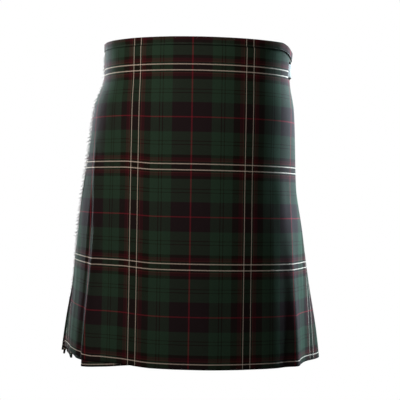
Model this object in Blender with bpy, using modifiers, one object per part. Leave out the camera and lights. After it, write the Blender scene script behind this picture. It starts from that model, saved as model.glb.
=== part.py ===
"""A Scottish kilt, worn, with no wearer: apron, under apron, 26 knife pleats, top bands,
fringe, and a strap and buckle at each side of the waist.

Metres, +Z up, front towards -Y. The origin is the centre of the waist, inside the kilt.
Left and right are the wearer's: the wearer's left is +X.

Cloth places are given in cloth coordinates: s is the distance round the kilt from the
centre of the front, positive towards +X, z is the height, and out is the distance
outwards from the kilt's ring at that height.
"""
import functools
import math

import bmesh
import bpy
import numpy as np
from mathutils import Vector

# ---- sizes of the whole kilt -------------------------------------------------------------
TOP = 0.063             # top edge above the waist line
APRON_HEM = -0.547      # the drop is TOP - APRON_HEM, 610 mm
CLOTH = 0.0012          # wall of the heavy worsted
GAP = 0.0003            # between neighbouring pieces

# Rings: half widths to each side, reach to the front and back, and how far back from the
# origin each side is widest.
RING_COLUMNS = ("z", "half_right", "half_left", "front", "back", "widest_right", "widest_left")
RINGS = (
    (0.063, 0.185, 0.180, 0.129, 0.128, 0.010, -0.018),
    (0.000, 0.185, 0.175, 0.130, 0.130, 0.011, -0.019),
    (-0.060, 0.204, 0.185, 0.133, 0.145, 0.016, -0.012),
    (-0.130, 0.216, 0.190, 0.135, 0.162, 0.027, 0.000),
    (-0.200, 0.229, 0.195, 0.136, 0.176, 0.044, 0.014),
    (-0.300, 0.246, 0.214, 0.136, 0.196, 0.072, 0.034),
    (-0.400, 0.258, 0.230, 0.136, 0.216, 0.100, 0.050),
    (-0.490, 0.272, 0.245, 0.136, 0.235, 0.121, 0.061),
    (-0.560, 0.281, 0.254, 0.136, 0.250, 0.134, 0.068),
)

# Largest folds of the hanging cloth: each starts at its height and is full at the hem.
FOLD_COLUMNS = ("s_start", "s_hem", "half_width", "out", "z_start")
FOLDS = (
    (-0.218, -0.226, 0.026, 0.0035, -0.060),    # ridge beside the fringed edge
    (-0.190, -0.194, 0.028, -0.0035, -0.090),   # trough in front of that ridge
    (-0.300, -0.335, 0.080, -0.0100, -0.180),   # flat right flank
    (0.194, 0.217, 0.028, 0.0045, -0.150),      # ridge at the left corner
    (0.176, 0.189, 0.028, -0.0050, -0.160),     # trough in front of that corner
    (0.250, 0.285, 0.084, -0.0190, -0.170),     # flat left flank
)

# ---- panels ------------------------------------------------------------------------------
APRON_EDGE = -0.246         # s of the fringed edge down to the hips
APRON_EDGE_ROWS = (         # and its s at each height below them, where the apron widens
    (0.063, -0.246), (-0.060, -0.246), (-0.130, -0.249), (-0.200, -0.257), (-0.300, -0.279),
    (-0.400, -0.309), (-0.490, -0.336), (-0.560, -0.354),
)
APRON_FOLD_ANGLE = 93.0     # where the apron's folded edge stands, degrees round from the front
APRON_COLUMNS = 36
FLARE_COLUMNS = 5           # columns from the fringed edge to the first shared one
ROWS = (0.0, -0.060, -0.130, -0.200, -0.300, -0.400, -0.490)
SIDE_DIP = 0.014            # the top edge dips at the wearer's left side
SIDE_DIP_CENTRE = 0.228
SIDE_DIP_HALF = 0.062
SLIT_S = (0.2005, 0.2170)   # slit for the inner strap, along the cloth
SLIT_Z = (-0.0025, 0.0305)
SLIT_CUT_DEPTH = 0.004

UNDER_COLUMNS = ("z", "s_right_end", "out")
UNDER_ROWS = (
    (0.063, -0.2335, -0.0051),
    (0.000, -0.2335, -0.0051),
    (-0.060, -0.2340, -0.0026),
    (-0.560, -0.2440, -0.0026),
)
UNDER_LAST_COLUMN = 33      # it ends at this column of the outer apron
UNDER_HEM_LOW = -0.558      # the under apron hangs lower at the wearer's right
UNDER_HEM_HIGH = -0.541
UNDER_HEM_RISE = (-0.244, -0.070)

# ---- pleats ------------------------------------------------------------------------------
PLEATS = 24
PLEAT_UNDERLAP = 1.5        # depth of each fold, in visible pleat widths
PLEAT_STEP = 0.5            # one column every half pleat
PLEATS_START = -1           # place where the first pleat's cloth begins, under the folded edge
WIDE_FROM = 22              # the last two pleats, beside the fringe, are wide
WIDE_STEP = 0.25
PLEAT_SHARES = ((-1.0, -0.03677), (22.0, 0.809), (23.0, 0.881), (24.0, 1.0))
PLEAT_ROWS = (0.0, -0.060, -0.200, -0.380)
# The distance between layers, how far inside the ring the folded edges lie, and where the
# last folded edge lies under the fringed edge.
PLEAT_COLUMNS = ("z", "pitch", "out", "s_end")
PLEAT_SHAPE = (
    (0.063, 0.00160, -0.0057, -0.239),
    (-0.060, 0.00160, -0.0057, -0.239),
    (-0.200, 0.00160, -0.0062, -0.235),
    (-0.380, 0.00230, -0.0076, -0.228),
    (-0.560, 0.00300, -0.0080, -0.221),
)
PLEAT_HEM = -0.549

# ---- top bands ---------------------------------------------------------------------------
BAND_HEIGHT = 0.015
BAND_CLOTH = 0.0012
BAND_TOP_CLEAR = 0.0018     # from the cloth's top edge to the top of the band
BAND_FOOT = 0.0170          # from the top of the band to the row of cloth just under it

# ---- fringe ------------------------------------------------------------------------------
STRANDS = 118
STRIP_WIDTH = 0.003
STRIP_THICKNESS = 0.0010
STRAND_LENGTH = 0.0145
STRAND_SHARE = 0.62         # of each strand's pitch that its root takes
STRAND_TIP = 0.55           # tip width over root width
STRAND_DROOP = 0.0022
STRAND_SWAY = 0.0008
FRINGE_TOP = 0.046
FRINGE_BOTTOM = -0.545
FRINGE_SEED = 7

# ---- straps and buckles ------------------------------------------------------------------
STRAP_Z = 0.014
STRAP_WIDTH = 0.026
STRAP_THICKNESS = 0.0020
LEATHER_LOOP = 0.0012
BAR_RADIUS = 0.00175
BAR_OUT = -0.0006           # centre of the buckle's bars
FRONT_BAR = 0.028           # distances past the apron's edge
REAR_BAR = 0.052
FRAME_INNER_HALF = 0.0145   # half the opening for the strap
FRAME_CORNER = 0.004
FRAME_CORNER_POINTS = 4
LOOP_CLEAR = 0.00035
LOOP_RADIUS = BAR_RADIUS + LOOP_CLEAR + LEATHER_LOOP / 2
CHAPE_WIDTH = 0.022
CHAPE_OUT = -0.00415
CHAPE_END = 0.084
STRAP_TIP = 0.100
PRONG_RADIUS = 0.0011
PRONG_SLOT = (0.0108, 0.0036)
PRONG_SLOT_AT = 0.0400
SPARE_HOLES = (0.066, 0.080)
SPARE_HOLE_RADIUS = 0.0021
HOLE_CUT_REACH = 0.02
HOLE_CORNERS = 12

# Strap centre lines: distance past the apron's edge, and out.
STRAP_END_PATH = ((0.022, -0.00375), (0.032, -0.00350), (0.044, 0.00210), (0.050, 0.00390),
                  (0.056, 0.00380), (0.064, 0.00150), (0.074, -0.00040), (STRAP_TIP, -0.00060))
STRAP_RIGHT_ROOT = ((-0.024, -0.00285), (0.000, -0.00285), (0.012, -0.00300))
STRAP_LEFT_ROOT = ((-0.070, -0.00320), (-0.045, -0.00320), (-0.037, -0.00310), (-0.020, 0.00180),
                   (-0.012, 0.00180), (0.002, 0.00160), (0.012, -0.00120))
PRONG_PATH = ((0.0484, -0.0006), (0.0410, -0.0003), (0.0340, 0.0012), (0.0280, 0.0026), (0.0262, 0.0024))

COLLECTION = "kilt"
CUTTERS = "kilt_cutters"


# ---- the ring ----------------------------------------------------------------------------
def column(table, names, name):
    """One named column of a table, as an array from the lowest row up."""
    rows = sorted(table, key=lambda row: row[0])
    return np.array([row[names.index(name)] for row in rows])


def smooth_column(table, names, name, z):
    """The column's value at z, on a cubic through the table's rows."""
    heights = column(table, names, names[0])
    values = column(table, names, name)
    rises = np.diff(values) / np.diff(heights)
    inner = [2 * a * b / (a + b) if a * b > 0 else 0.0 for a, b in zip(rises, rises[1:])]
    slopes = [rises[0], *inner, rises[-1]]
    z = min(max(z, heights[0]), heights[-1])
    low = min(int(np.searchsorted(heights, z, side="right")) - 1, len(heights) - 2)
    span = heights[low + 1] - heights[low]
    t = (z - heights[low]) / span
    return (values[low] * (2 * t ** 3 - 3 * t ** 2 + 1) + values[low + 1] * (3 * t ** 2 - 2 * t ** 3)
            + span * (slopes[low] * (t ** 3 - 2 * t ** 2 + t) + slopes[low + 1] * (t ** 3 - t ** 2)))


def ease(t):
    """A smooth rise from 0 to 1."""
    t = min(max(t, 0.0), 1.0)
    return t * t * (3 - 2 * t)


@functools.lru_cache(maxsize=None)
def ring(z):
    """The ring at a height: angles, distances round it, points and outward directions."""
    size = {name: smooth_column(RINGS, RING_COLUMNS, name, z) for name in RING_COLUMNS[1:]}
    angles = np.radians(np.linspace(-180.0, 180.0, 721))
    left = angles >= 0
    ahead = np.abs(angles) <= math.pi / 2
    half = np.where(left, size["half_left"], size["half_right"])
    widest = np.where(left, size["widest_left"], size["widest_right"])
    reach = np.where(ahead, widest + size["front"], size["back"] - widest)
    x = half * np.sin(angles)
    y = widest - reach * np.cos(angles)
    steps = np.hypot(np.diff(x), np.diff(y))
    s = np.concatenate(([0.0], np.cumsum(steps)))
    s -= s[len(s) // 2]
    along_x, along_y = np.gradient(x, s), np.gradient(y, s)
    length = np.hypot(along_x, along_y)
    return {"angle": angles, "s": s, "x": x, "y": y, "nx": along_y / length, "ny": -along_x / length}


def girth(z):
    """The distance all round the ring at a height."""
    return ring(z)["s"][-1] - ring(z)["s"][0]


def fold_out(s, z):
    """How far the largest folds move the cloth at s and z."""
    total = 0.0
    bottom = RINGS[-1][0]
    for row in FOLDS:
        fold = dict(zip(FOLD_COLUMNS, row))
        grown = ease((fold["z_start"] - z) / (fold["z_start"] - bottom))
        centre = fold["s_start"] + (fold["s_hem"] - fold["s_start"]) * grown
        reach = abs(s - centre) / fold["half_width"]
        if reach < 1:
            total += fold["out"] * grown * math.cos(reach * math.pi / 2) ** 2
    return total


def on_ring(s, z, out):
    """A point in space from cloth coordinates."""
    at = ring(round(z, 6))
    if s > at["s"][-1]:
        s -= at["s"][-1] - at["s"][0]
    x, y, nx, ny = (float(np.interp(s, at["s"], at[name])) for name in ("x", "y", "nx", "ny"))
    out += fold_out(s, z)
    length = math.hypot(nx, ny)
    return Vector((x + nx / length * out, y + ny / length * out, z))


def folded_edge(z):
    """The s of the apron's folded edge at a height."""
    at = ring(round(z, 6))
    return float(np.interp(math.radians(APRON_FOLD_ANGLE), at["angle"], at["s"]))


def top_edge(s):
    """The height of the top edge at s."""
    reach = abs(s - SIDE_DIP_CENTRE) / SIDE_DIP_HALF
    dip = SIDE_DIP * math.cos(min(reach, 1.0) * math.pi / 2) ** 2
    return TOP - dip


# ---- building helpers --------------------------------------------------------------------
def clear_scene():
    """Remove everything that a new file holds."""
    for old in list(bpy.data.objects):
        bpy.data.objects.remove(old, do_unlink=True)
    for name in (COLLECTION, CUTTERS):
        bpy.context.scene.collection.children.link(bpy.data.collections.new(name))


def material(name, colour, roughness, metallic=0.0):
    """A plain Principled material."""
    made = bpy.data.materials.new(name)
    made.use_nodes = True
    shader = made.node_tree.nodes["Principled BSDF"]
    shader.inputs["Base Color"].default_value = (*colour, 1.0)
    shader.inputs["Roughness"].default_value = roughness
    shader.inputs["Metallic"].default_value = metallic
    return made


def add_object(name, data, finish=None, collection=COLLECTION):
    """An object of the kilt's collection, with its material."""
    made = bpy.data.objects.new(name, data)
    if finish:
        data.materials.append(finish)
    bpy.data.collections[collection].objects.link(made)
    return made


def sheet_mesh(name, grid):
    """An open surface through a grid of points, its normals outwards."""
    mesh = bpy.data.meshes.new(name)
    shape = bmesh.new()
    rows = [[shape.verts.new(point) for point in row] for row in grid]
    for upper, lower in zip(rows, rows[1:]):
        for i in range(len(upper) - 1):
            shape.faces.new((upper[i], lower[i], lower[i + 1], upper[i + 1]))
    shape.to_mesh(mesh)
    shape.free()
    mesh.shade_smooth()
    mesh.set_sharp_from_angle(angle=math.radians(40))
    return mesh


def add_wall(made, thickness, offset):
    """Give a surface its wall."""
    wall = made.modifiers.new("wall", "SOLIDIFY")
    wall.thickness = thickness
    wall.offset = offset
    wall.use_even_offset = True
    return wall


def lofted_mesh(name, sections):
    """A closed body through equal closed sections, capped at both ends."""
    mesh = bpy.data.meshes.new(name)
    shape = bmesh.new()
    loops = [[shape.verts.new(point) for point in section] for section in sections]
    count = len(loops[0])
    for first, second in zip(loops, loops[1:]):
        for i in range(count):
            following = (i + 1) % count
            shape.faces.new((first[i], first[following], second[following], second[i]))
    half = count // 2
    for loop in (loops[0], loops[-1]):
        for i in range(half - 1):
            shape.faces.new((loop[i], loop[i + 1], loop[count - 2 - i], loop[count - 1 - i]))
    bmesh.ops.recalc_face_normals(shape, faces=shape.faces)
    shape.to_mesh(mesh)
    shape.free()
    return mesh


def rod(name, points, radius, finish, closed=False):
    """A round rod through points, with filled caps or closed on itself."""
    curve = bpy.data.curves.new(name, "CURVE")
    curve.dimensions = "3D"
    curve.bevel_depth = radius
    curve.bevel_resolution = 2
    curve.use_fill_caps = True
    spline = curve.splines.new("POLY")
    spline.points.add(len(points) - 1)
    for place, point in zip(spline.points, points):
        place.co = (*point, 1.0)
    spline.use_cyclic_u = closed
    return add_object(name, curve, finish)


def cutter(name, sections):
    """A cutting body through equal sections."""
    made = add_object(name, lofted_mesh(name, sections), collection=CUTTERS)
    made.hide_render = True
    made.display_type = "WIRE"
    return made


def cut(made, tool):
    """Cut one body with another."""
    step = made.modifiers.new(tool.name, "BOOLEAN")
    step.operation = "DIFFERENCE"
    step.solver = "EXACT"
    step.object = tool


# ---- cloth panels ------------------------------------------------------------------------
def level_height(level, s, hem):
    """The height of a row of cloth at s: two rows follow the top edge, one the hem."""
    named = {"top": top_edge(s) - BAND_TOP_CLEAR, "band": top_edge(s) - BAND_FOOT, "hem": hem}
    return named.get(level, level)


def level_place(level):
    """The one height at which a row's distances round the kilt are taken."""
    return {"top": TOP, "band": TOP, "hem": APRON_HEM}.get(level, level)


def on_cloth(s, z, out):
    """A point on the outer apron's straight stretches between its rows, moved outwards."""
    heights = [level_height(level, s, APRON_HEM) for level in ("top", "band", *ROWS, "hem")]
    for upper, lower in zip(heights, heights[1:]):
        if z >= lower:
            break
    share = (upper - z) / (upper - lower)
    return on_ring(s, upper, out).lerp(on_ring(s, lower, out), share)


def beside_edge(past, z, out):
    """A point some distance past the outer apron's fringed edge, moved outwards."""
    heights = [level_height(level, APRON_EDGE, APRON_HEM) for level in ("top", "band", *ROWS, "hem")]
    for upper, lower in zip(heights, heights[1:]):
        if z >= lower:
            break
    share = (upper - z) / (upper - lower)
    above, below = [on_ring(apron_edge(height) - past, height, out) for height in (upper, lower)]
    return above.lerp(below, share)


def panel_grid(rows, places, hem, out):
    """A panel's points: places, hem and out say where each row's columns stand."""
    grid = []
    for level in ("top", "band", *rows, "hem"):
        at = level_place(level)
        grid.append([on_ring(s, level_height(level, s, hem(s)), out(at)) for s in places(at)])
    return grid


def apron_edge(z):
    """The s of the outer apron's fringed edge at a height."""
    names = ("z", "s")
    return float(np.interp(z, column(APRON_EDGE_ROWS, names, "z"), column(APRON_EDGE_ROWS, names, "s")))


def even_places(z):
    """The columns that both aprons share at a height, evenly round to the folded edge."""
    end = folded_edge(z)
    return [APRON_EDGE + (end - APRON_EDGE) * i / APRON_COLUMNS for i in range(1, APRON_COLUMNS + 1)]


def apron_places(z):
    """The columns of the outer apron at a height, from its fringed to its folded edge."""
    start = apron_edge(z)
    shared = even_places(z)
    flare = [start + (shared[0] - start) * i / FLARE_COLUMNS for i in range(FLARE_COLUMNS)]
    return [*flare, *shared]


def build_apron_outer(finish):
    """The outer apron, with the slit that the inner strap comes out of."""
    grid = panel_grid(ROWS, apron_places, lambda s: APRON_HEM, lambda z: 0.0)
    made = add_object("apron_outer", sheet_mesh("apron_outer", grid), finish)
    add_wall(made, CLOTH, -1.0)
    corners = [(s, z) for s in SLIT_S for z in (SLIT_Z if s == SLIT_S[0] else SLIT_Z[::-1])]
    sections = [[on_ring(s, z, out) for s, z in corners] for out in (-SLIT_CUT_DEPTH, SLIT_CUT_DEPTH)]
    cut(made, cutter("slit_cutter", sections))


def under_hem(s):
    """The hem height of the under apron at s."""
    start, end = UNDER_HEM_RISE
    return UNDER_HEM_LOW + (UNDER_HEM_HIGH - UNDER_HEM_LOW) * ease((s - start) / (end - start))


def under_value(name, z):
    """The under apron's right end or its out, at a height."""
    heights = column(UNDER_ROWS, UNDER_COLUMNS, "z")
    return float(np.interp(z, heights, column(UNDER_ROWS, UNDER_COLUMNS, name)))


def under_places(z):
    """The columns of the under apron: its own right end, then the outer apron's columns."""
    return [under_value("s_right_end", z), *even_places(z)[:UNDER_LAST_COLUMN]]


def build_apron_under(finish):
    """The inner front panel, just inside the outer apron."""
    grid = panel_grid(ROWS, under_places, under_hem, lambda z: under_value("out", z))
    made = add_object("apron_under", sheet_mesh("apron_under", grid), finish)
    add_wall(made, CLOTH, 0.0)


def pleat_value(name, z):
    """One of the pleats' named measures at a height."""
    heights = column(PLEAT_SHAPE, PLEAT_COLUMNS, "z")
    return float(np.interp(z, heights, column(PLEAT_SHAPE, PLEAT_COLUMNS, name)))


def pleat_place(z, place):
    """The s of a place counted in pleats from the apron's folded edge."""
    start = folded_edge(z)
    end = girth(round(z, 6)) + pleat_value("s_end", z)
    places, shares = zip(*PLEAT_SHARES)
    return start + (end - start) * float(np.interp(place, places, shares))


def pleat_columns():
    """The places where every layer of the pleats has a column."""
    narrow = np.arange(PLEATS_START, WIDE_FROM, PLEAT_STEP)
    wide = np.arange(WIDE_FROM, PLEATS + WIDE_STEP, WIDE_STEP)
    return [*narrow.tolist(), *wide.tolist()]


def pleat_section():
    """One row's path through all pleats, as (place in pleats, layers inwards).

    Each pleat's face runs forward to its folded edge, turns under, runs back by the
    underlap and turns again to start the next face.
    """
    columns = pleat_columns()
    path = []
    for edge in range(1, PLEATS + 1):
        face = [place for place in columns if edge - 1 - PLEAT_UNDERLAP <= place <= edge]
        back = [place for place in columns if edge - PLEAT_UNDERLAP <= place <= edge]
        path += [(place, 2 * (edge - place)) for place in face]
        path += [(place, 2 * (edge - place) + 1) for place in reversed(back)]
    return path


def build_pleats(finish):
    """The knife pleats of the back, from under the folded edge to under the fringed edge."""
    section = pleat_section()
    grid = []
    for level in ("top", "band", *PLEAT_ROWS, "hem"):
        at = level_place(level)
        row = []
        for place, layers in section:
            s = pleat_place(at, place)
            out = pleat_value("out", at) - pleat_value("pitch", at) * layers
            row.append(on_ring(s, level_height(level, s, PLEAT_HEM), out))
        grid.append(row)
    made = add_object("pleats_back", sheet_mesh("pleats_back", grid), finish)
    add_wall(made, CLOTH, 0.0)


# ---- top bands ---------------------------------------------------------------------------
def build_band(name, places, outer, inner, finish):
    """A strip folded over a top edge: outer and inner are the cloth's two faces there."""
    sections = []
    for s in places:
        top = top_edge(s)
        low = top - BAND_HEIGHT
        under = top - BAND_CLOTH
        outside, inside = outer + GAP + BAND_CLOTH, inner - GAP - BAND_CLOTH
        profile = ((outside, low), (outside, top), (inside, top), (inside, low),
                   (inside + BAND_CLOTH, low), (inside + BAND_CLOTH, under),
                   (outside - BAND_CLOTH, under), (outside - BAND_CLOTH, low))
        sections.append([on_ring(s, z, out) for out, z in profile])
    mesh = bpy.data.meshes.new(name)
    shape = bmesh.new()
    loops = [[shape.verts.new(point) for point in section] for section in sections]
    count = len(loops[0])
    for first, second in zip(loops, loops[1:]):
        for i in range(count):
            following = (i + 1) % count
            shape.faces.new((first[i], first[following], second[following], second[i]))
    for loop in (loops[0], loops[-1]):
        shape.faces.new((loop[0], loop[1], loop[6], loop[7]))
        shape.faces.new((loop[1], loop[2], loop[5], loop[6]))
        shape.faces.new((loop[2], loop[3], loop[4], loop[5]))
    bmesh.ops.recalc_face_normals(shape, faces=shape.faces)
    shape.to_mesh(mesh)
    shape.free()
    add_object(name, mesh, finish)


def build_bands(finish):
    """The three top bands."""
    under = under_value("out", TOP)
    pleats = pleat_value("out", TOP)
    stack = pleat_value("pitch", TOP) * 2 * (1 + PLEAT_UNDERLAP)
    back = [pleat_place(TOP, place) for place in pleat_columns() if place >= 0]
    back[0] += GAP
    back[-1] += CLOTH
    build_band("band_apron", apron_places(TOP), 0.0, -CLOTH, finish)
    build_band("band_under", under_places(TOP), under + CLOTH / 2, under - CLOTH / 2, finish)
    build_band("band_back", back, pleats + CLOTH / 2 + GAP, pleats - stack - CLOTH / 2 - GAP, finish)


# ---- fringe ------------------------------------------------------------------------------
def build_fringe(finish):
    """A narrow strip beside the apron's edge, with a strand drawn out of every other face."""
    face = GAP + STRIP_WIDTH
    middle = -CLOTH / 2
    half = STRIP_THICKNESS / 2
    pitch = (FRINGE_TOP - FRINGE_BOTTOM) / STRANDS
    levels = []
    for i in range(STRANDS):
        low = FRINGE_BOTTOM + i * pitch
        levels += [low, low + pitch * STRAND_SHARE]
    levels.append(FRINGE_TOP)
    mesh = bpy.data.meshes.new("fringe_apron")
    shape = bmesh.new()
    corners = ((GAP, middle + half), (face, middle + half), (face, middle - half), (GAP, middle - half))
    loops = [[shape.verts.new(beside_edge(past, z, out)) for past, out in corners] for z in levels]
    random = np.random.default_rng(FRINGE_SEED)
    for i, (lower, upper) in enumerate(zip(loops, loops[1:])):
        for k in (0, 2, 3):
            shape.faces.new((lower[k], lower[(k + 1) % 4], upper[(k + 1) % 4], upper[k]))
        if i % 2:
            shape.faces.new((lower[1], lower[2], upper[2], upper[1]))
            continue
        z_low, z_high = levels[i], levels[i + 1]
        centre = (z_low + z_high) / 2
        reach = STRAND_LENGTH * random.uniform(0.85, 1.0)
        fall = STRAND_DROOP * random.uniform(0.3, 1.4)
        sway = STRAND_SWAY * random.uniform(-1.0, 0.6)
        spread = (z_high - z_low) / 2 * STRAND_TIP
        ends = ((-spread, half / 2), (-spread, -half / 2), (spread, -half / 2), (spread, half / 2))
        tip = [shape.verts.new(beside_edge(face + reach, centre - fall + rise, middle + sway + out))
               for rise, out in ends]
        base = (lower[1], lower[2], upper[2], upper[1])
        for k in range(4):
            shape.faces.new((base[k], base[(k + 1) % 4], tip[(k + 1) % 4], tip[k]))
        shape.faces.new(tip)
    shape.faces.new(loops[0])
    shape.faces.new(loops[-1])
    bmesh.ops.recalc_face_normals(shape, faces=shape.faces)
    shape.to_mesh(mesh)
    shape.free()
    add_object("fringe_apron", mesh, finish)


# ---- straps and buckles ------------------------------------------------------------------
def side_s(side, past):
    """The s of a place some distance past the apron's edge, on the wearer's right or left."""
    if side == "right":
        return APRON_EDGE - past
    return folded_edge(STRAP_Z) + past


def ribbon_grid(side, path, width):
    """A ribbon along a path, two edges and a middle, running outwards-facing."""
    levels = (STRAP_Z + width / 2, STRAP_Z, STRAP_Z - width / 2)
    points = path if side == "left" else path[::-1]
    return [[on_cloth(side_s(side, past), z, out) for past, out in points] for z in levels]


def round_path(path, steps):
    """More points along a path, on a smooth curve through its own."""
    points = [path[0], *path, path[-1]]
    fine = []
    for before, start, end, after in zip(points, points[1:], points[2:], points[3:]):
        for i in range(steps):
            t = i / steps
            fine.append(tuple(0.5 * (2 * b + (c - a) * t + (2 * a - 5 * b + 4 * c - d) * t * t
                                     + (3 * b - a - 3 * c + d) * t ** 3)
                              for a, b, c, d in zip(before, start, end, after)))
    return [*fine, path[-1]]


def hole_cutter(name, side, past, half_length, half_width):
    """An oval cutter through the strap, at a distance past the apron's edge."""
    sections = []
    for out in (-HOLE_CUT_REACH, HOLE_CUT_REACH):
        section = []
        for i in range(HOLE_CORNERS):
            turn = 2 * math.pi * i / HOLE_CORNERS
            place = past + half_length * math.cos(turn)
            z = STRAP_Z + half_width * math.sin(turn)
            section.append(on_cloth(side_s(side, place), z, out))
        sections.append(section)
    return cutter(name, sections)


def build_strap(side, root, finish):
    """A waist strap, from its root at the apron to its tip past the buckle."""
    path = round_path((*root, *STRAP_END_PATH), 2)
    name = f"strap_{side}"
    made = add_object(name, sheet_mesh(name, ribbon_grid(side, path, STRAP_WIDTH)), finish)
    add_wall(made, STRAP_THICKNESS, 0.0)
    length, width = PRONG_SLOT
    cut(made, hole_cutter(f"slot_{side}", side, PRONG_SLOT_AT, length / 2, width / 2))
    for number, past in enumerate(SPARE_HOLES, 1):
        cut(made, hole_cutter(f"hole_{side}_{number}", side, past, SPARE_HOLE_RADIUS, SPARE_HOLE_RADIUS))


def build_chape(side, finish):
    """The leather that is folded round the rear bar and sewn to the pleats."""
    step = LEATHER_LOOP + GAP
    path = [(CHAPE_END, CHAPE_OUT), (REAR_BAR + 0.016, CHAPE_OUT), (REAR_BAR + 0.007, CHAPE_OUT)]
    for turn in np.radians(np.linspace(-100, -330, 9)):
        path.append((REAR_BAR + LOOP_RADIUS * math.cos(turn), BAR_OUT + LOOP_RADIUS * math.sin(turn)))
    path += [(REAR_BAR + 0.0085, CHAPE_OUT + step), (REAR_BAR + 0.016, CHAPE_OUT + step),
             (CHAPE_END - 0.004, CHAPE_OUT + step)]
    grid = ribbon_grid(side, path, CHAPE_WIDTH)
    made = add_object(f"chape_{side}", sheet_mesh(f"chape_{side}", grid), finish)
    add_wall(made, LEATHER_LOOP, 0.0)


def build_buckle(side, finish):
    """The buckle's frame, a rounded rectangle of round bar, and its prong."""
    half_height = FRAME_INNER_HALF + BAR_RADIUS - FRAME_CORNER
    half_width = (REAR_BAR - FRONT_BAR) / 2 - FRAME_CORNER
    outline = []
    for right, up, first in ((1, 1, 0), (-1, 1, 90), (-1, -1, 180), (1, -1, 270)):
        for turn in np.radians(np.linspace(first, first + 90, FRAME_CORNER_POINTS)):
            past = (FRONT_BAR + REAR_BAR) / 2 + right * half_width + FRAME_CORNER * math.cos(turn)
            z = STRAP_Z + up * half_height + FRAME_CORNER * math.sin(turn)
            outline.append(on_cloth(side_s(side, past), z, BAR_OUT))
    rod(f"buckle_frame_{side}", outline, BAR_RADIUS, finish, closed=True)
    points = [on_cloth(side_s(side, past), STRAP_Z, out) for past, out in PRONG_PATH]
    rod(f"buckle_prong_{side}", points, PRONG_RADIUS, finish)


def main():
    """Build every piece."""
    clear_scene()
    tartan = material("tartan", (0.03, 0.05, 0.04), 0.85)
    band = material("band_cloth", (0.05, 0.02, 0.025), 0.85)
    yarn = material("fringe_yarn", (0.05, 0.06, 0.05), 0.9)
    leather = material("leather", (0.012, 0.010, 0.009), 0.45)
    metal = material("metal", (0.75, 0.75, 0.75), 0.25, 1.0)
    build_apron_outer(tartan)
    build_apron_under(tartan)
    build_pleats(tartan)
    build_bands(band)
    build_fringe(yarn)
    for side, root in (("right", STRAP_RIGHT_ROOT), ("left", STRAP_LEFT_ROOT)):
        build_strap(side, root, leather)
        build_chape(side, leather)
        build_buckle(side, metal)


main()
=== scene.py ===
# %% [markdown]
# # A Scottish kilt, worn, with no wearer
# A kilt is one long strip of heavy worsted wool. Its two flat ends lap over each other at the front
# as aprons, and the rest is folded into knife pleats round the back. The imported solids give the
# sizes and places. This script dresses them: woven check, soft folds, fringe, leather and metal.

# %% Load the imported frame
import math
import bpy
import numpy as np
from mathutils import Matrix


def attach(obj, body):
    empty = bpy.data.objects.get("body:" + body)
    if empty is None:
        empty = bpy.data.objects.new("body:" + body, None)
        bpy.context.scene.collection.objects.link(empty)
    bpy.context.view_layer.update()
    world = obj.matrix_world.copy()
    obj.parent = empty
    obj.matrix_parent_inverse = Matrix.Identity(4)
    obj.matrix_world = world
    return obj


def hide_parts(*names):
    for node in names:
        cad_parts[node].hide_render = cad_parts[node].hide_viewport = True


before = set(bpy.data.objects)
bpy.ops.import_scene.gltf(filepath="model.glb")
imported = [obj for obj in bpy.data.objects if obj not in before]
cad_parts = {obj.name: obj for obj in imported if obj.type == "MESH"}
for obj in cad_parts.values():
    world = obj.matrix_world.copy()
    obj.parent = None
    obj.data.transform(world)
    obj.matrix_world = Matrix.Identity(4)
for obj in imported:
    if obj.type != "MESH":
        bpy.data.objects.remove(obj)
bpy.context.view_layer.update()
bpy.ops.object.select_all(action="DESELECT")
print("nodes:", ", ".join(sorted(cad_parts)))

# %% [markdown]
# ## The camera
# A garment is shown best from straight ahead at the middle of its height, with a long lens, so
# that the hem and the waist curve only a little. The camera leans by about one degree.

# %% Place the camera
LENS = 96.3                 # mm
SENSOR = 36                 # mm
FRAME_SHIFT = 0.0075        # of the picture's width
CAMERA_AT = (0.0071, -2.086, -0.242)
CAMERA_LEAN = math.radians(-1.2)
lens = bpy.data.cameras.new("camera")
lens.lens = LENS
lens.sensor_width = SENSOR
lens.shift_y = FRAME_SHIFT
camera = bpy.data.objects.new("camera", lens)
camera.location = CAMERA_AT
camera.rotation_euler = (math.pi / 2, CAMERA_LEAN, 0)
bpy.context.collection.objects.link(camera)
bpy.context.scene.camera = camera
print("camera at", CAMERA_AT)

# %% [markdown]
# ## Cloth coordinates
# Every place on the kilt is given as on a map: s is the distance round the kilt from the centre of
# the front, z is the height, and out is the distance from the ring that the body would fill. A
# table of rings gives the kilt's half widths and reach at nine heights, and a smooth curve joins
# them, so that one function can put cloth, leather and metal in their places.

# %% The rings of the kilt
TOP = 0.063
HEM = -0.547
CLOTH = 0.0012
RING_NAMES = ("half_right", "half_left", "front", "back", "widest_right", "widest_left")
RINGS = {
    0.063: (0.185, 0.180, 0.129, 0.128, 0.010, -0.018),
    0.000: (0.185, 0.175, 0.130, 0.130, 0.011, -0.019),
    -0.060: (0.204, 0.185, 0.133, 0.145, 0.016, -0.012),
    -0.130: (0.216, 0.190, 0.135, 0.162, 0.027, 0.000),
    -0.200: (0.229, 0.195, 0.136, 0.176, 0.044, 0.014),
    -0.300: (0.246, 0.214, 0.136, 0.196, 0.072, 0.034),
    -0.400: (0.258, 0.230, 0.136, 0.216, 0.100, 0.050),
    -0.490: (0.272, 0.245, 0.136, 0.235, 0.121, 0.061),
    -0.560: (0.281, 0.254, 0.136, 0.250, 0.134, 0.068),
}
LEVEL_STEP = 0.005
LEVELS = np.arange(-0.575, 0.076, LEVEL_STEP)
ANGLES = np.radians(np.linspace(-190, 190, 761))    # a little past the back on both sides


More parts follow.
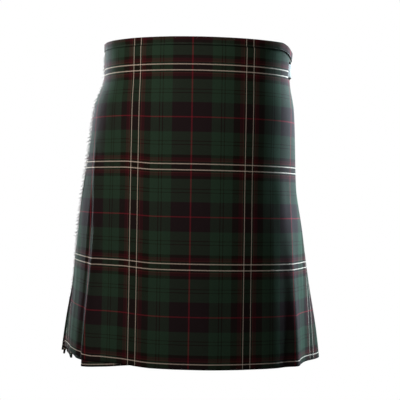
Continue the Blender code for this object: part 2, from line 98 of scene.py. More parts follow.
def smooth_column(index):
    """One ring measure at every level, on a smooth curve that never overshoots the table."""
    heights = np.array(sorted(RINGS))
    values = np.array([RINGS[height][index] for height in sorted(RINGS)])
    rises = np.diff(values) / np.diff(heights)
    same_way = rises[:-1] * rises[1:] > 0
    both = np.where(same_way, rises[:-1] + rises[1:], 1.0)
    inner = np.where(same_way, 2 * rises[:-1] * rises[1:] / both, 0.0)
    slopes = np.concatenate((rises[:1], inner, rises[-1:]))
    z = np.clip(LEVELS, heights[0], heights[-1])
    low = np.clip(np.searchsorted(heights, z, side="right") - 1, 0, len(heights) - 2)
    span = heights[low + 1] - heights[low]
    t = (z - heights[low]) / span
    ends = values[low] * (2 * t ** 3 - 3 * t ** 2 + 1) + values[low + 1] * (3 * t ** 2 - 2 * t ** 3)
    bend = slopes[low] * (t ** 3 - 2 * t ** 2 + t) + slopes[low + 1] * (t ** 3 - t ** 2)
    return ends + span * bend


def make_ring(size):
    """One ring: the distance round it, its points and its outward directions."""
    left = ANGLES >= 0
    half = np.where(left, size["half_left"], size["half_right"])
    widest = np.where(left, size["widest_left"], size["widest_right"])
    ahead = np.abs(ANGLES) <= math.pi / 2
    reach = np.where(ahead, widest + size["front"], size["back"] - widest)
    x = half * np.sin(ANGLES)
    y = widest - reach * np.cos(ANGLES)
    s = np.concatenate(([0.0], np.cumsum(np.hypot(np.diff(x), np.diff(y)))))
    s -= s[len(s) // 2]
    along_x, along_y = np.gradient(x, s), np.gradient(y, s)
    length = np.hypot(along_x, along_y)
    return s, np.stack((x, y, along_y / length, -along_x / length))


columns = dict(zip(RING_NAMES, (smooth_column(i) for i in range(len(RING_NAMES)))))
rings = [make_ring({name: sizes[k] for name, sizes in columns.items()}) for k in range(len(LEVELS))]
GIRTHS = np.array([np.diff(np.interp((-math.pi, math.pi), ANGLES, s))[0] for s, _ in rings])
for name, z in (("waist", 0.0), ("hem", HEM)):
    print(f"girth at the {name}: {np.interp(z, LEVELS, GIRTHS):.3f} m")

# %% [markdown]
# ## How the cloth hangs
# Heavy worsted falls in long, soft folds and hardly any small wrinkles. The large folds are those
# of the solids. A cloth simulation would find small ones by itself, but nobody can tell it where
# they fall. So they are listed one by one: each is a trough or a ridge that runs down the cloth,
# with its own length, width and depth. All layers share them, so no layer cuts another.

# %% Folds and creases
LOWEST = min(RINGS)
# Large folds: s at the start and at the hem, half width, out, and the height where each starts.
FOLDS = (
    (-0.218, -0.226, 0.026, 0.0035, -0.060),
    (-0.190, -0.194, 0.028, -0.0035, -0.090),
    (-0.300, -0.335, 0.080, -0.0100, -0.180),
    (0.194, 0.217, 0.028, 0.0045, -0.150),
    (0.176, 0.189, 0.028, -0.0050, -0.160),
    (0.250, 0.285, 0.084, -0.0190, -0.170),
)
# Small creases: s at the upper and lower end, the heights of the ends, half width, out.
CREASES = (
    (-0.224, -0.208, -0.10, -0.38, 0.009, 0.0013),
    (-0.201, -0.242, -0.24, -0.62, 0.009, 0.0035),
    (-0.218, -0.256, -0.20, -0.62, 0.010, -0.0021),
    (-0.192, -0.226, -0.26, -0.62, 0.010, -0.0008),
    (-0.275, -0.300, -0.26, -0.62, 0.016, 0.0010),
    (0.172, 0.190, -0.15, -0.62, 0.030, 0.0022),
    (0.200, 0.222, -0.16, -0.62, 0.010, 0.0006),
    (0.150, 0.158, -0.20, -0.60, 0.012, 0.0005),
    (0.118, 0.112, -0.30, -0.62, 0.030, -0.0014),
    (-0.090, -0.082, -0.22, -0.60, 0.034, -0.0012),
    (-0.160, -0.150, -0.08, -0.50, 0.022, -0.0009),
    (0.020, 0.030, -0.34, -0.62, 0.040, 0.0012),
    (0.250, 0.300, -0.10, -0.45, 0.018, -0.0016),
    (0.330, 0.400, -0.16, -0.62, 0.045, 0.0040),
    (0.420, 0.500, -0.20, -0.62, 0.050, -0.0038),
    (0.520, 0.620, -0.14, -0.62, 0.055, 0.0042),
    (-0.480, -0.640, -0.18, -0.62, 0.060, -0.0036),
    (-0.400, -0.500, -0.15, -0.62, 0.050, 0.0044),
    (-0.330, -0.400, -0.20, -0.62, 0.036, -0.0026),
)
CREASE_FADE = 0.09          # a crease fades in and out over this height


def ease(t):
    """A smooth rise from 0 to 1."""
    t = np.clip(t, 0, 1)
    return t * t * (3 - 2 * t)


def hill(distance, half_width):
    """A soft hill that is 1 in the middle and 0 from its half width on."""
    return np.cos(np.clip(np.abs(distance) / half_width, 0, 1) * math.pi / 2) ** 2


def hang(s, z):
    """How far the folds and creases move the cloth outwards."""
    total = np.zeros(np.broadcast(s, z).shape)
    for s_start, s_hem, half_width, out, z_start in FOLDS:
        grown = ease((z_start - z) / (z_start - LOWEST))
        total += out * grown * hill(s - s_start - (s_hem - s_start) * grown, half_width)
    for s_high, s_low, z_high, z_low, half_width, out in CREASES:
        centre = s_high + (s_low - s_high) * (z_high - z) / (z_high - z_low)
        strength = ease((z_high - z) / CREASE_FADE) * ease((z - z_low) / CREASE_FADE)
        total += out * strength * hill(s - centre, half_width)
    return total


def place(s, z, out):
    """Points in space from cloth coordinates, given as numbers or as arrays of one shape."""
    s, z, out = (np.array(a, dtype=float) for a in np.broadcast_arrays(s, z, out))
    shape = s.shape
    s, z, out = s.ravel(), z.ravel(), out.ravel()
    level = np.clip((z - LEVELS[0]) / LEVEL_STEP, 0, len(LEVELS) - 1.001)
    low = level.astype(int)
    girth = np.interp(z, LEVELS, GIRTHS)
    s = np.where(s > girth / 2, s - girth, s)
    found = np.zeros((4, len(s)))
    for k in np.unique(low):
        here = low == k
        share = level[here] - k
        for ring, weight in ((k, 1 - share), (k + 1, share)):
            distance, values = rings[ring]
            for row, value in zip(found, values):
                row[here] += weight * np.interp(s[here], distance, value)
    x, y, nx, ny = found
    reach = (out + hang(s, z)) / np.hypot(nx, ny)
    return np.stack((x + nx * reach, y + ny * reach, z), axis=-1).reshape(*shape, 3)


print("folds and creases:", len(FOLDS) + len(CREASES))

# %% [markdown]
# ## Sheets from a map
# A plane could be pulled into shape by hand, but its pattern would stretch with it. Here a sheet of
# cloth is a grid of points. Its UV map holds the real distance along the weft and the warp in
# metres, so that a woven pattern keeps its true size wherever the cloth goes. Solidify then gives
# the sheet its wall.

# %% Make a sheet, and finish a piece
def finish_piece(piece, material):
    """Give a piece its material and its smooth surface, and let it ride on the kilt's one body."""
    piece.data.materials.clear()
    piece.data.materials.append(material)
    piece.data.shade_smooth()
    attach(piece, "root")
    return piece


def mesh_piece(name, points, faces):
    """A new object from points and faces."""
    mesh = bpy.data.meshes.new(name)
    mesh.from_pydata(points, [], faces)
    piece = bpy.data.objects.new(name, mesh)
    bpy.context.collection.objects.link(piece)
    return piece


def select_only(piece):
    """Select one piece alone, and make it the active one."""
    bpy.ops.object.select_all(action="DESELECT")
    bpy.context.view_layer.objects.active = piece
    piece.select_set(True)


def apply_modifiers(piece):
    """Apply all modifiers of one piece, in order."""
    select_only(piece)
    for modifier in list(piece.modifiers):
        bpy.ops.object.modifier_apply(modifier=modifier.name)
    piece.select_set(False)


def cloth_sheet(name, points, weft, warp, wall=CLOTH, offset=-1.0, keep=None):
    """A sheet through a grid of points, with the distance along its weft and warp as its UV map."""
    rows, count = points.shape[:2]
    corner = np.arange(rows * count).reshape(rows, count)
    quads = np.stack((corner[:-1, :-1], corner[1:, :-1], corner[1:, 1:], corner[:-1, 1:]), axis=-1)
    quads = quads.reshape(-1, 4) if keep is None else quads[keep]
    used, renumbered = np.unique(quads, return_inverse=True)
    faces = renumbered.reshape(-1, 4).tolist()
    piece = mesh_piece(name, points.reshape(-1, 3)[used].tolist(), faces)
    uv = np.stack(np.broadcast_arrays(weft, warp), axis=-1).reshape(-1, 2)[quads.ravel()]
    piece.data.uv_layers.new(name="cloth").data.foreach_set("uv", uv.ravel())
    shell = piece.modifiers.new("wall", "SOLIDIFY")
    shell.thickness = wall
    shell.offset = offset
    apply_modifiers(piece)
    return piece


print("cloth wall:", CLOTH * 1000, "mm")

# %% [markdown]
# ## The tartan
# A tartan is woven from the same order of coloured yarns in the warp and in the weft, mirrored
# about two pivots. Here the pivots are the middle of a pair of white lines and a thin red line.
# Where warp and weft cross, a 2/2 twill shows both in fine diagonal lines, so that crossing
# stripes look mixed. A painted check would blur close up, so the shader weaves it: it reads one
# yarn from the distance along the weft, one from the distance along the warp, and a diagonal
# pattern chooses between them.

# %% The yarns and their order
YARNS = {
    "green": (0.0172, 0.0365, 0.0240),
    "black": (0.0092, 0.0074, 0.0056),
    "navy": (0.0142, 0.0096, 0.0114),
    "maroon": (0.034, 0.0062, 0.0085),
    "rust": (0.075, 0.018, 0.016),
    "red": (0.150, 0.012, 0.022),
    "white": (0.640, 0.572, 0.502),
}
# From the middle of the white pair to the red line: the yarn and the width of each stripe in mm.
UPRIGHT_STRIPES = (
    ("black", 6.4), ("white", 1.5), ("black", 2.9), ("rust", 1.8), ("maroon", 6.2), ("black", 12.4),
    ("green", 16.2), ("black", 1.6), ("green", 4.2), ("black", 1.6), ("green", 17.0),
    ("navy", 35.4), ("red", 1.5),
)
LEVEL_STRIPES = (
    ("black", 4.6), ("white", 1.8), ("black", 3.4), ("rust", 1.6), ("maroon", 5.1), ("black", 5.5),
    ("green", 18.0), ("black", 1.4), ("green", 4.8), ("black", 1.4), ("green", 16.4),
    ("navy", 26.2), ("red", 1.3),
)
UPRIGHT_PAIR = 0.1003       # s of the middle of one upright white pair at the hem
SKEW = 0.0055               # how much the warp leans from upright
LEVEL_PAIR = 0.0065         # height of the middle of one level white pair
YARN = 0.0005               # one yarn's width


def repeat(stripes):
    """The size of the whole repeat in metres: twice its half."""
    return 2 * sum(width for _, width in stripes) / 1000


print(f"repeat: {repeat(UPRIGHT_STRIPES):.3f} m round the kilt,",
      f"{repeat(LEVEL_STRIPES):.3f} m down it")


# %% [markdown]
# ## Nodes for the finishes
# A few small helpers keep the node trees short. Math nodes are chained, and a colour ramp with
# hard steps holds the order of the yarns.

# %% Node helpers
def new_material(name, roughness):
    """A material with its tree and its main shader."""
    material = bpy.data.materials.new(name)
    material.use_nodes = True
    shader = material.node_tree.nodes["Principled BSDF"]
    shader.inputs["Roughness"].default_value = roughness
    return material, material.node_tree, shader


def fill(tree, socket, value):
    """Link a socket to another, or set its value."""
    if isinstance(value, bpy.types.NodeSocket):
        tree.links.new(value, socket)
    else:
        socket.default_value = value


def maths(tree, operation, *values):
    """One Math node: its operation, and what goes into it."""
    made = tree.nodes.new("ShaderNodeMath")
    made.operation = operation
    for socket, value in zip(made.inputs, values):
        fill(tree, socket, value)
    return made.outputs[0]


def mix_colours(tree, share, first, second, blend="MIX"):
    """One colour Mix node."""
    made = tree.nodes.new("ShaderNodeMix")
    made.data_type = "RGBA"
    made.blend_type = blend
    fill(tree, made.inputs["Factor"], share)
    fill(tree, made.inputs["A"], first)
    fill(tree, made.inputs["B"], second)
    return made.outputs["Result"]


def ramp(tree, value, stops, steps="LINEAR"):
    """A colour ramp: stops are (position, colour)."""
    made = tree.nodes.new("ShaderNodeValToRGB")
    made.color_ramp.interpolation = steps
    while len(made.color_ramp.elements) < len(stops):
        made.color_ramp.elements.new(1.0)
    for element, (position, colour) in zip(made.color_ramp.elements, stops):
        element.position = position
        element.color = (*colour, 1.0)
    fill(tree, made.inputs["Fac"], value)
    return made.outputs["Color"]


def own_place(tree):
    """The place on the piece, in its own coordinates."""
    return tree.nodes.new("ShaderNodeTexCoord").outputs["Object"]


def noise(tree, scale, detail=2.0):
    """Noise from 0 to 1 on the piece's own coordinates."""
    made = tree.nodes.new("ShaderNodeTexNoise")
    made.inputs["Scale"].default_value = scale
    made.inputs["Detail"].default_value = detail
    tree.links.new(own_place(tree), made.inputs["Vector"])
    return made.outputs["Fac"]


def bump(tree, shader, height, distance, strength=1.0):
    """Relief from a height."""
    made = tree.nodes.new("ShaderNodeBump")
    made.inputs["Strength"].default_value = strength
    made.inputs["Distance"].default_value = distance
    fill(tree, made.inputs["Height"], height)
    tree.links.new(made.outputs["Normal"], shader.inputs["Normal"])


def cloth_map(tree):
    """The distances along the weft and along the warp."""
    uv = tree.nodes.new("ShaderNodeUVMap")
    uv.uv_map = "cloth"
    parts = tree.nodes.new("ShaderNodeSeparateXYZ")
    tree.links.new(uv.outputs["UV"], parts.inputs["Vector"])
    return parts.outputs["X"], parts.outputs["Y"]


def stripe_colour(tree, distance, middle, stripes):
    """The yarn at a distance, mirrored about the pair's middle and about the red line."""
    size = repeat(stripes)
    from_middle = maths(tree, "DIVIDE", maths(tree, "SUBTRACT", distance, middle), size)
    folded = maths(tree, "MULTIPLY", maths(tree, "PINGPONG", from_middle, 0.5), 2.0)
    stops = []
    start = 0.0
    for yarn, width in stripes:
        stops.append((start, YARNS[yarn]))
        start += width / 1000 / (size / 2)
    return ramp(tree, folded, stops, "CONSTANT")


print("helpers ready")


# %% [markdown]
# ## Woven wool
# Worsted wool is matt, with a fine fuzz that catches light from behind at the edges of a form.
# Hairs could be modelled, but they would be thinner than anything seen at this distance, so the
# sheen of the shader stands for them. Uneven dye and fibre show as a faint change of brightness,
# and the twill's diagonal ribs are a very low relief.

# %% The tartan and the loose yarn
def add_wool(tree, shader, colour, height):
    """Fibre, uneven dye, fuzz and relief on a woven colour."""
    fibre = maths(tree, "MULTIPLY_ADD", noise(tree, 900.0), 0.5, 0.75)
    dye = maths(tree, "MULTIPLY_ADD", noise(tree, 7.0, 4.0), 0.24, 0.88)
    uneven = maths(tree, "MULTIPLY", fibre, dye)
    tree.links.new(mix_colours(tree, 1.0, colour, uneven, "MULTIPLY"), shader.inputs["Base Color"])
    shader.inputs["Specular IOR Level"].default_value = 0.02
    shader.inputs["Sheen Weight"].default_value = 0.024
    shader.inputs["Sheen Roughness"].default_value = 0.35
    shader.inputs["Sheen Tint"].default_value = (0.86, 0.90, 1.0, 1.0)
    bump(tree, shader, maths(tree, "MULTIPLY_ADD", noise(tree, 1500.0), 0.3, height), 0.00012, 0.6)


def tartan_material():
    """The woven check."""
    material, tree, shader = new_material("tartan_twill", 0.88)
    weft, warp = cloth_map(tree)
    upright = stripe_colour(tree, weft, UPRIGHT_PAIR, UPRIGHT_STRIPES)
    level = stripe_colour(tree, warp, LEVEL_PAIR, LEVEL_STRIPES)
    diagonal = maths(tree, "DIVIDE", maths(tree, "ADD", weft, warp), 4 * YARN)
    rib = maths(tree, "MULTIPLY", maths(tree, "PINGPONG", diagonal, 0.5), 2.0)
    chosen = maths(tree, "MULTIPLY_ADD", rib, 0.9, 0.05)
    add_wool(tree, shader, mix_colours(tree, chosen, upright, level), rib)
    return material


def yarn_material():
    """Loose weft yarn at a cut edge: the colour is the stripe that it was drawn from."""
    material, tree, shader = new_material("loose_yarn", 0.92)
    weft, warp = cloth_map(tree)
    level = stripe_colour(tree, warp, LEVEL_PAIR, LEVEL_STRIPES)
    ply = maths(tree, "PINGPONG", maths(tree, "DIVIDE", weft, 2 * YARN), 0.5)
    add_wool(tree, shader, level, ply)
    return material


tartan = tartan_material()
loose_yarn = yarn_material()
print("wool:", tartan.name, loose_yarn.name)

# %% [markdown]
# ## The outer apron
# The outer apron is the flat front. Its free edge is at the wearer's right, where the weft yarns
# are drawn out as a fringe. At the wearer's left it is folded back on itself, and runs on into the
# first pleat. It could be cut out of a larger sheet, but its slanting edges would then cut across
# the grid. So the columns of the grid follow the yarns from waist to hem, and spread only beside
# the two long edges, where the apron widens. A slit near the folded edge lets the inner strap
# through.

# %% Edges of the panels
APRON_EDGE = -0.246         # s of the free edge at the waist
# The free edge runs straight down to the hips, and then the apron widens: (height, s).
EDGE_ROWS = ((-0.560, -0.354), (-0.490, -0.336), (-0.400, -0.309), (-0.300, -0.279),
             (-0.200, -0.257), (-0.130, -0.249), (-0.060, APRON_EDGE), (TOP, APRON_EDGE))
FOLD_ANGLE = math.radians(93)   # where the folded edge is, round from the centre of the front
SIDE_DIP = 0.014            # depth of the dip in the top edge
SIDE_DIP_AT = 0.228
SIDE_DIP_HALF = 0.062
BAND_CLEAR = 0.0018         # the cloth ends this far under the top of its band
SLIT_S = (0.2005, 0.2170)
SLIT_Z = (-0.0025, 0.0305)
FAN_START = 0.222           # columns spread from here to the folded edge
FLARE_START = -0.2105       # and from here to the free edge
# Towards the free edge the cloth climbs. Each row has the height that it gains, the s and the z
# where that starts, and the distances round the kilt and down it over which it grows.
SIDE_CLIMB = (0.0038, -0.075, 0.02, 0.070, 0.16)
EDGE_CLIMB = (0.0085, -0.215, -0.16, 0.115, 0.30)
EDGE_CLIMB_MOST = 1.15      # it goes on a little past its full distance
EDGE_SAG = (0.0022, -0.215, -0.30, 0.050, 0.20)
folded_edges = np.array([np.interp(FOLD_ANGLE, ANGLES, s) for s, _ in rings])


def read(table, z):
    """A value at height z, from a table of (height, value)."""
    return np.interp(z, [row[0] for row in table], [row[1] for row in table])


def folded_edge(z):
    """The s of the apron's folded edge."""
    return np.interp(z, LEVELS, folded_edges)


def top_edge(s):
    """The height of the kilt's top edge, which dips a little at the wearer's left side."""
    return TOP - SIDE_DIP * hill(s - SIDE_DIP_AT, SIDE_DIP_HALF)


def rise(s, z):
    """How far the cloth of the outer apron is drawn up towards its free edge."""
    gain, s_start, z_start, width, depth = SIDE_CLIMB
    side = gain * ease((s_start - s) / width) * ease((z_start - z) / depth)
    gain, s_start, z_start, width, depth = EDGE_CLIMB
    edge = gain * np.clip((s_start - s) / width, 0, EDGE_CLIMB_MOST) * ease((z_start - z) / depth)
    gain, s_start, z_start, width, depth = EDGE_SAG
    sag = gain * hill(s - s_start, width) * ease((z_start - z) / depth)
    return side + edge - sag


def even(*stretches):
    """Places along stretches given as (start, end, steps)."""
    runs = [np.linspace(start, end, steps + 1)[:-1] for start, end, steps in stretches]
    return np.concatenate((*runs, [stretches[-1][1]]))


for name, z in (("top", TOP), ("hem", HEM)):
    print(f"apron: {folded_edge(z) - read(EDGE_ROWS, z):.3f} m wide at the {name}")

# %% Weave the outer apron
EDGE_ROLL = 0.00145         # radius of the folded edge
TURN_BACK = 0.022
EDGE_LAP = 0.0012           # the cloth goes this far past its edge, over the roots of the fringe
FLARE_STEPS, FRONT_STEPS, SLIT_STEPS, SIDE_STEPS, FAN_STEPS = 34, 98, 4, 2, 36
TURN_STEPS, BACK_STEPS = 6, 5
TOP_ROWS, SLIT_ROWS, LOWER_ROWS = 8, 8, 132
straight = even((FLARE_START, SLIT_S[0], FRONT_STEPS), (*SLIT_S, SLIT_STEPS),
                (SLIT_S[1], FAN_START, SIDE_STEPS))
flare = np.linspace(0, 1, FLARE_STEPS + 1)[:-1]
fan = np.linspace(0, 1, FAN_STEPS + 1)[1:]
turn = np.linspace(0, math.pi, TURN_STEPS + 1)[1:]
back_run = np.linspace(0, 1, BACK_STEPS + 1)[1:]
slit_columns = slice(FLARE_STEPS + FRONT_STEPS, FLARE_STEPS + FRONT_STEPS + SLIT_STEPS)
slit_rows = slice(TOP_ROWS, TOP_ROWS + SLIT_ROWS)
to_top = np.linspace(1, 0, TOP_ROWS + 1)[:-1, None]
lower = even((SLIT_Z[1], SLIT_Z[0], SLIT_ROWS), (SLIT_Z[0], HEM, LOWER_ROWS))
levels = np.concatenate((np.full(TOP_ROWS, TOP), lower))
start = read(EDGE_ROWS, levels)[:, None] - EDGE_LAP
end = folded_edge(levels)[:, None] - EDGE_ROLL
s = np.concatenate((
    start + (FLARE_START - start) * flare,
    np.broadcast_to(straight, (len(levels), len(straight))),
    FAN_START + (end - FAN_START) * fan,
    end + EDGE_ROLL * np.sin(turn),
    end - TURN_BACK * back_run), axis=1)
out = np.concatenate((
    np.zeros((len(levels), len(flare) + len(straight) + len(fan))),
    np.broadcast_to(EDGE_ROLL * (np.cos(turn) - 1), (len(levels), len(turn))),
    np.full((len(levels), len(back_run)), -2 * EDGE_ROLL)), axis=1)
cloth_s = np.concatenate((s[:, :-len(turn) - len(back_run)], end + EDGE_ROLL * turn,
                          end + EDGE_ROLL * math.pi + TURN_BACK * back_run), axis=1)
z = np.broadcast_to(levels[:, None], s.shape).copy()
z[:TOP_ROWS] = lower[0] + (top_edge(s[:TOP_ROWS]) - BAND_CLEAR - lower[0]) * to_top
keep = np.ones((s.shape[0] - 1, s.shape[1] - 1), dtype=bool)
keep[slit_rows, slit_columns] = False
points = place(s, z + rise(s, z), out)
apron = cloth_sheet("apron_cloth", points, cloth_s + SKEW * (z - HEM), z, keep=keep)
finish_piece(apron, tartan)
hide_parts("apron_outer")
print("apron faces:", len(apron.data.polygons))

# %% [markdown]
# ## The under apron
# The under apron is the other end of the strip. It lies just inside the outer apron and hangs a
# little lower at the wearer's right, where its corner shows under the fringed edge. A copy of the
# outer apron would bring its slit and folded edge with it, and here a plain grid is enough.

# %% Weave the under apron
# Its end at the wearer's right, and how far inside the outer apron it lies: (height, value).
UNDER_END = ((-0.56, -0.2440), (-0.06, -0.2340), (0.0, -0.2335))
UNDER_OUT = ((-0.06, -0.0026), (0.0, -0.0051))
UNDER_SHARE = 33 / 36       # of the way to the outer apron's folded edge
UNDER_SHIFT = 0.031         # of its pattern against the outer apron's, round the kilt
UNDER_DROP = 0.0055         # and down it
UNDER_HEM = -0.558          # at its free corner
UNDER_HEM_GAIN = 0.017      # the rest of its hem is this much higher
UNDER_HEM_RUN = 0.174       # and rises over this width
UNDER_ROWS, UNDER_COLUMNS = 100, 90


def under_hem(s):
    """The height of the under apron's hem."""
    return UNDER_HEM + UNDER_HEM_GAIN * ease((s - UNDER_END[0][1]) / UNDER_HEM_RUN)


t = np.linspace(0, 1, UNDER_ROWS)[:, None]
levels = TOP + (HEM - TOP) * t
start = read(UNDER_END, levels)
end = APRON_EDGE + (folded_edge(levels) - APRON_EDGE) * UNDER_SHARE
s = start + (end - start) * np.linspace(0, 1, UNDER_COLUMNS)
highest = top_edge(s) - BAND_CLEAR
z = highest + (under_hem(s) - highest) * t
weft = s + UNDER_SHIFT + SKEW * (z - HEM)
warp = z + (HEM - under_hem(s)) * t + UNDER_DROP * t
under = cloth_sheet("under_apron_cloth", place(s, z, read(UNDER_OUT, z)), weft, warp, offset=0.0)
finish_piece(under, tartan)
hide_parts("apron_under")
print("under apron faces:", len(under.data.polygons))

# %% [markdown]
# ## The pleats
# Each knife pleat runs forward to a sharp folded edge, turns under, runs back, and turns again to
# start the next. Pleated to the sett, the part that shows carries on the check from one pleat to
# the next. From the waist to the hips the pleats are sewn flat. Below that they hang free, their
# edges lift a little, and each corner of the hem drops by its own amount. Each pleat could be a
# piece of its own, but they are one cloth: its path from pleat to pleat, as seen from above, is
# worked out once, and every row of the grid follows it.

# %% The path of the cloth through one pleat
PLEATS = 24
UNDERLAP = 1.5              # depth of each fold, in visible widths
# Share of the way from the folded edge to the last pleat's edge; the last two pleats are wide.
PLEAT_SHARES = ((-1.0, -0.03677), (22.0, 0.809), (23.0, 0.881), (24.0, 1.0))
PLEAT_HEM = -0.549
SEWN_TO = -0.120            # the pleats are sewn down to here
# From one layer to the next, where the outer layer lies, and where the last pleat ends.
PITCH = ((-0.56, 0.00300), (-0.38, 0.00230), (-0.20, 0.00160))
PLEATS_OUT = ((-0.56, -0.0080), (-0.38, -0.0076), (-0.20, -0.0062), (-0.06, -0.0057))
PLEATS_END = ((-0.56, -0.221), (-0.38, -0.228), (-0.20, -0.235), (-0.06, -0.239))
MOST_LIFT = 0.0024          # of a pleat's edge
MOST_DROP = 0.0045          # of a pleat's corner at the hem
WIDE_DROPS = (0.0050, 0.0055, 0.0, 0.0)     # of the two wide pleats next to the fringe
chance = np.random.default_rng(11)
edge_lift = chance.uniform(0.2, 1.0, PLEATS + 2) * MOST_LIFT
edge_wave = chance.uniform(0.0, 2 * math.pi, PLEATS + 2)
corner_drop = chance.uniform(0.3, 1.0, PLEATS + 2) * MOST_DROP
corner_drop[PLEATS - 2:] = WIDE_DROPS


def pleat_path(edge, first):
    """The columns of one pleat: (pleats from the apron, layers inwards, bulge, face or back)."""
    face = np.concatenate((np.linspace(first, 1.0, 4)[:-1], np.linspace(1.0, 0.0, 7)))
    rows = [(edge - back, 2 * back, 0.0, 0) for back in face]
    turns = (math.pi / 4, math.pi / 2, 3 * math.pi / 4)
    rows += [(edge, (1 - math.cos(a)) / 2, math.sin(a), 0) for a in turns]
    rows += [(edge - back, 2 * back + 1, 0.0, 1) for back in np.linspace(0, UNDERLAP, 5)]
    rows += [(edge - UNDERLAP, 2 * UNDERLAP + 1.5, -1.0, 2)]
    return [(edge, *row) for row in rows]


def pleat_s(z, where):
    """The s of a place counted in pleats from the apron's folded edge."""
    first = folded_edge(z)
    last = np.interp(z, LEVELS, GIRTHS) + read(PLEATS_END, z)
    return first + (last - first) * np.interp(where, *zip(*PLEAT_SHARES))


path = []
for edge in range(1, PLEATS + 1):
    path += pleat_path(edge, 2.0 if edge == 1 else 1 + UNDERLAP)
edges, where, layers, bulge, side = np.array(path[:-1]).T
edges = edges.astype(int)
print("columns through all pleats:", len(edges))

# %% Weave the pleats
PLEAT_ROWS = 90
LIFTED = 0.8                # of a visible width behind a pleat's edge lifts with it
DROPPED = 0.5               # and drops with its corner
FREE_RUN = 0.25             # below the sewing, the edges come fully free over this height
WAVE_RATE = 16              # of a free edge's wave down the pleat, in radians per metre
t = np.linspace(0, 1, PLEAT_ROWS)[:, None]
levels = TOP + (PLEAT_HEM - TOP) * t
pitch = read(PITCH, levels)
s = pleat_s(levels, where) + pitch / 2 * bulge
behind_edge = edges - where
loose = ease((SEWN_TO - levels) / FREE_RUN)
covered = ease((edges - 0.5) / 2) * ease((PLEATS - 1.5 - edges) / 2)
near_edge = ease(1 - behind_edge / LIFTED)
waving = 0.6 + 0.4 * np.sin(levels * WAVE_RATE + edge_wave[edges])
lift = edge_lift[edges] * waving * near_edge * loose * covered
highest = top_edge(s) - BAND_CLEAR
dropped = ease(1 - behind_edge / DROPPED) * np.where(bulge < 0, 0, 1)
hem = PLEAT_HEM - corner_drop[edges] * dropped
z = highest + (hem - highest) * t
own_edge = pleat_s(SEWN_TO, edges)
next_edge = pleat_s(SEWN_TO, np.minimum(edges + 1, PLEATS))
behind = pleat_s(levels, edges) - pleat_s(levels, where)
inner_turn = next_edge - pleat_s(levels, edges + 1) + pleat_s(levels, edges - UNDERLAP)
to_inner_turn = pleat_s(levels, where) - pleat_s(levels, edges - UNDERLAP)
on_back = np.where(behind_edge < UNDERLAP / 2, own_edge + behind, inner_turn - to_inner_turn)
weft = np.where(side == 0, own_edge - behind, np.where(side == 1, on_back, inner_turn))
points = place(s, z, read(PLEATS_OUT, levels) - pitch * layers + lift)
pleats = cloth_sheet("pleat_cloth", points, weft, z + (HEM - hem) * t, offset=0.0)
finish_piece(pleats, tartan)
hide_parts("pleats_back")
print("pleat faces:", len(pleats.data.polygons))

# %% [markdown]
# ## The fringe
# Along the free edge the warp yarns are pulled out, and the cut weft yarns stand as a short, dense
# fringe. Hair curves could draw it, but only a mesh keeps its shape in every program. So a strand
# is a thin tapered tube with few sides. It is placed some hundreds of times, and each copy has its
# own length, droop and lean. Its colour is the stripe that it comes from.

# %% Draw out the fringe
STRANDS = 760
STRAND_SIDES = 4
STRAND_RINGS = 6
STRAND_RADIUS = 0.00038
FRINGE_LENGTH = 0.0150
FRINGE_Z = (-0.5455, 0.0455)
CURL = 0.0006
TUFT = 0.0078               # the height of one tuft of strands that stands out from the rest
TUFT_OUT = 0.0034
TUFTS_FROM = -0.40          # tufts grow from here up, over the next TUFTS_RUN
TUFTS_RUN = 0.12
chance = np.random.default_rng(7)
along = np.linspace(0, 1, STRAND_RINGS)[None, :, None]
round_it = np.linspace(0, 2 * math.pi, STRAND_SIDES + 1)[None, None, :-1]
root_z = np.linspace(*FRINGE_Z, STRANDS)[:, None, None]
root_z = root_z + chance.uniform(-1, 1, (STRANDS, 1, 1)) * 0.0005
length = FRINGE_LENGTH * chance.uniform(0.72, 1.0, root_z.shape)
droop = chance.uniform(0.0005, 0.0050, root_z.shape)
stand = chance.uniform(-0.0004, 0.0016, root_z.shape)
stand = stand + 0.0022 * chance.uniform(0, 1, root_z.shape) ** 5
curl = chance.uniform(0, 2 * math.pi, root_z.shape)
tuft = 0.5 + 0.5 * np.sin(root_z * 2 * math.pi / TUFT + 1.4 * np.sin(root_z * 67))
stand += TUFT_OUT * tuft ** 3 * ease((root_z - TUFTS_FROM) / TUFTS_RUN)
radius = STRAND_RADIUS * (1 - 0.45 * along) * chance.uniform(0.8, 1.15, root_z.shape)
s = read(EDGE_ROWS, root_z) - length * along + 0 * round_it
z = root_z - droop * along ** 2 + CURL * np.sin(curl + 5 * along) * along
z = z + radius * np.sin(round_it)
wander = 0.0005 * np.cos(curl + 4 * along) * along
out = -CLOTH / 2 + stand * along ** 1.5 + wander + radius * np.cos(round_it)
points = place(s, z + rise(s, root_z), out).reshape(-1, 3)


def tube_faces(start, ring_size, ring_count):
    """The faces of one closed tube, whose rings of points follow each other from a first point."""
    faces = []
    for ring in range(start, start + (ring_count - 1) * ring_size, ring_size):
        for i in range(ring_size):
            a, b = ring + i, ring + (i + 1) % ring_size
            faces.append((a, b, b + ring_size, a + ring_size))
    last = start + (ring_count - 1) * ring_size
    faces.append(tuple(range(start + ring_size - 1, start - 1, -1)))
    faces.append(tuple(range(last, last + ring_size)))
    return faces


